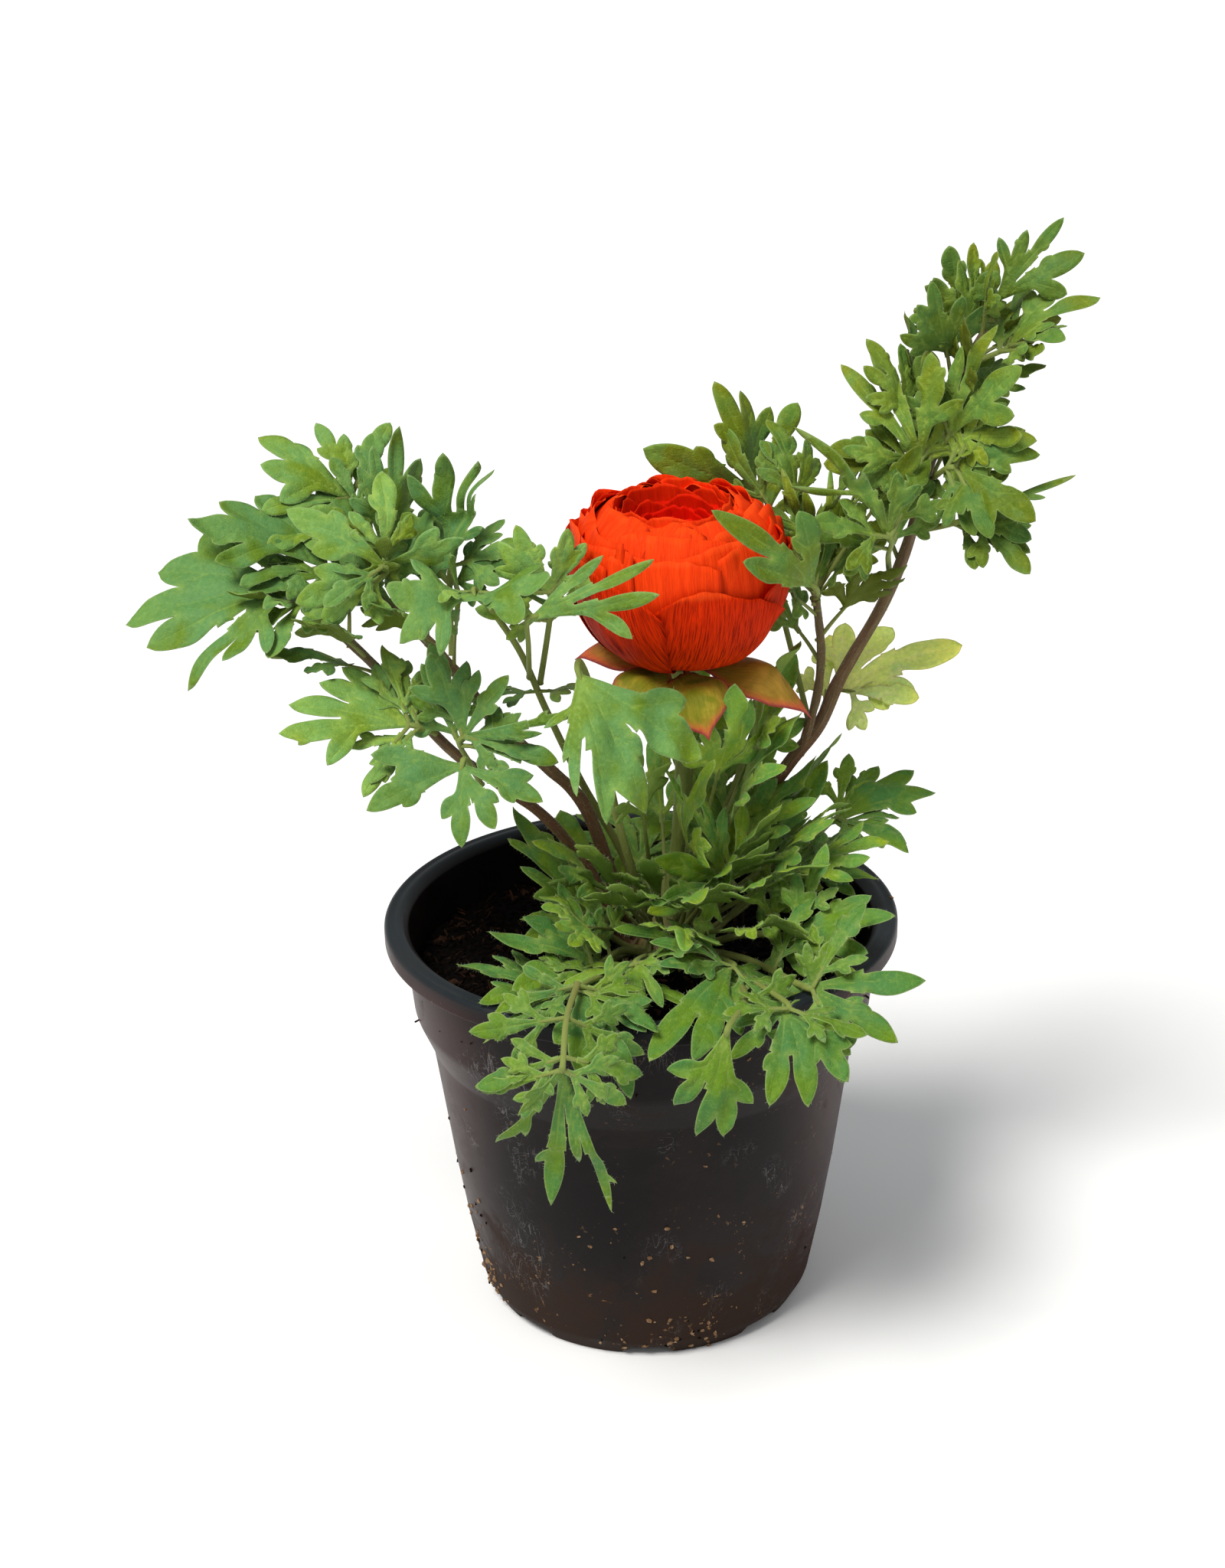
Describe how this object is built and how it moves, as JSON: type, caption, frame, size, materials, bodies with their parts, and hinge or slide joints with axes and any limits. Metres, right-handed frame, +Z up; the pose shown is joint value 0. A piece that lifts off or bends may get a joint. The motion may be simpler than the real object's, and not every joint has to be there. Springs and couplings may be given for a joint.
{
  "type": "potted ranunculus",
  "caption": "Flowering ranunculus plant in a round tapered nursery pot, with a cupped double flower, upright leafy shoots and a rosette of cut leaves spilling over the rim.",
  "frame": {"origin": "centre of the pot's underside, on the ground", "axes": "+Z up, -Y towards the front, where the rosette spills over the rim"},
  "size_m": [0.2302, 0.1552, 0.2752],
  "materials": {
    "pot_plastic": "satin",
    "potting_soil": "loose and fibrous",
    "stem": "hairy",
    "leaf": "soft matte",
    "old_leaf": "soft matte",
    "sepal": "soft matte",
    "petal": "silky"
  },
  "bodies": {
    "root": {"crown_and_flower_stem": "stem", "leaf_left_01": "leaf", "leaf_left_02": "leaf", "leaf_left_03": "leaf", "leaf_left_04": "leaf", "leaf_left_05": "leaf", "leaf_left_06": "leaf", "leaf_left_07": "leaf", "leaf_left_08": "leaf", "leaf_left_09": "leaf", "leaf_left_10": "leaf", "leaf_left_11": "leaf", "leaf_left_12": "leaf", "leaf_old_yellow": "old_leaf", "leaf_right_01": "leaf", "leaf_right_02": "leaf", "leaf_right_03": "leaf", "leaf_right_04": "leaf", "leaf_right_05": "leaf", "leaf_right_06": "leaf", "leaf_right_07": "leaf", "leaf_right_08": "leaf", "leaf_right_09": "leaf", "leaf_right_10": "leaf", "leaf_right_11": "leaf", "leaf_rosette_01": "leaf", "leaf_rosette_02": "leaf", "leaf_rosette_03": "leaf", "leaf_rosette_04": "leaf", "leaf_rosette_05": "leaf", "leaf_rosette_06": "leaf", "leaf_rosette_07": "leaf", "leaf_rosette_08": "leaf", "leaf_rosette_09": "leaf", "leaf_rosette_10": "leaf", "leaf_rosette_11": "leaf", "leaf_rosette_12": "leaf", "leaf_rosette_13": "leaf", "leaf_rosette_14": "leaf", "leaf_rosette_15": "leaf", "leaf_rosette_16": "leaf", "leaf_rosette_17": "leaf", "leaf_rosette_18": "leaf", "petal_heart": "petal", "petal_outer_1": "petal", "petal_outer_2": "petal", "petal_outer_3": "petal", "petal_outer_4": "petal", "petal_outer_5": "petal", "pot": "pot_plastic", "potting_soil": "potting_soil", "sepal_1": "sepal", "sepal_2": "sepal", "sepal_3": "sepal", "sepal_4": "sepal", "sepal_5": "sepal", "stem_left_lower": "stem", "stem_left_upper": "stem", "stem_right": "stem", "stem_right_side": "stem"}
  },
  "joints": []
}
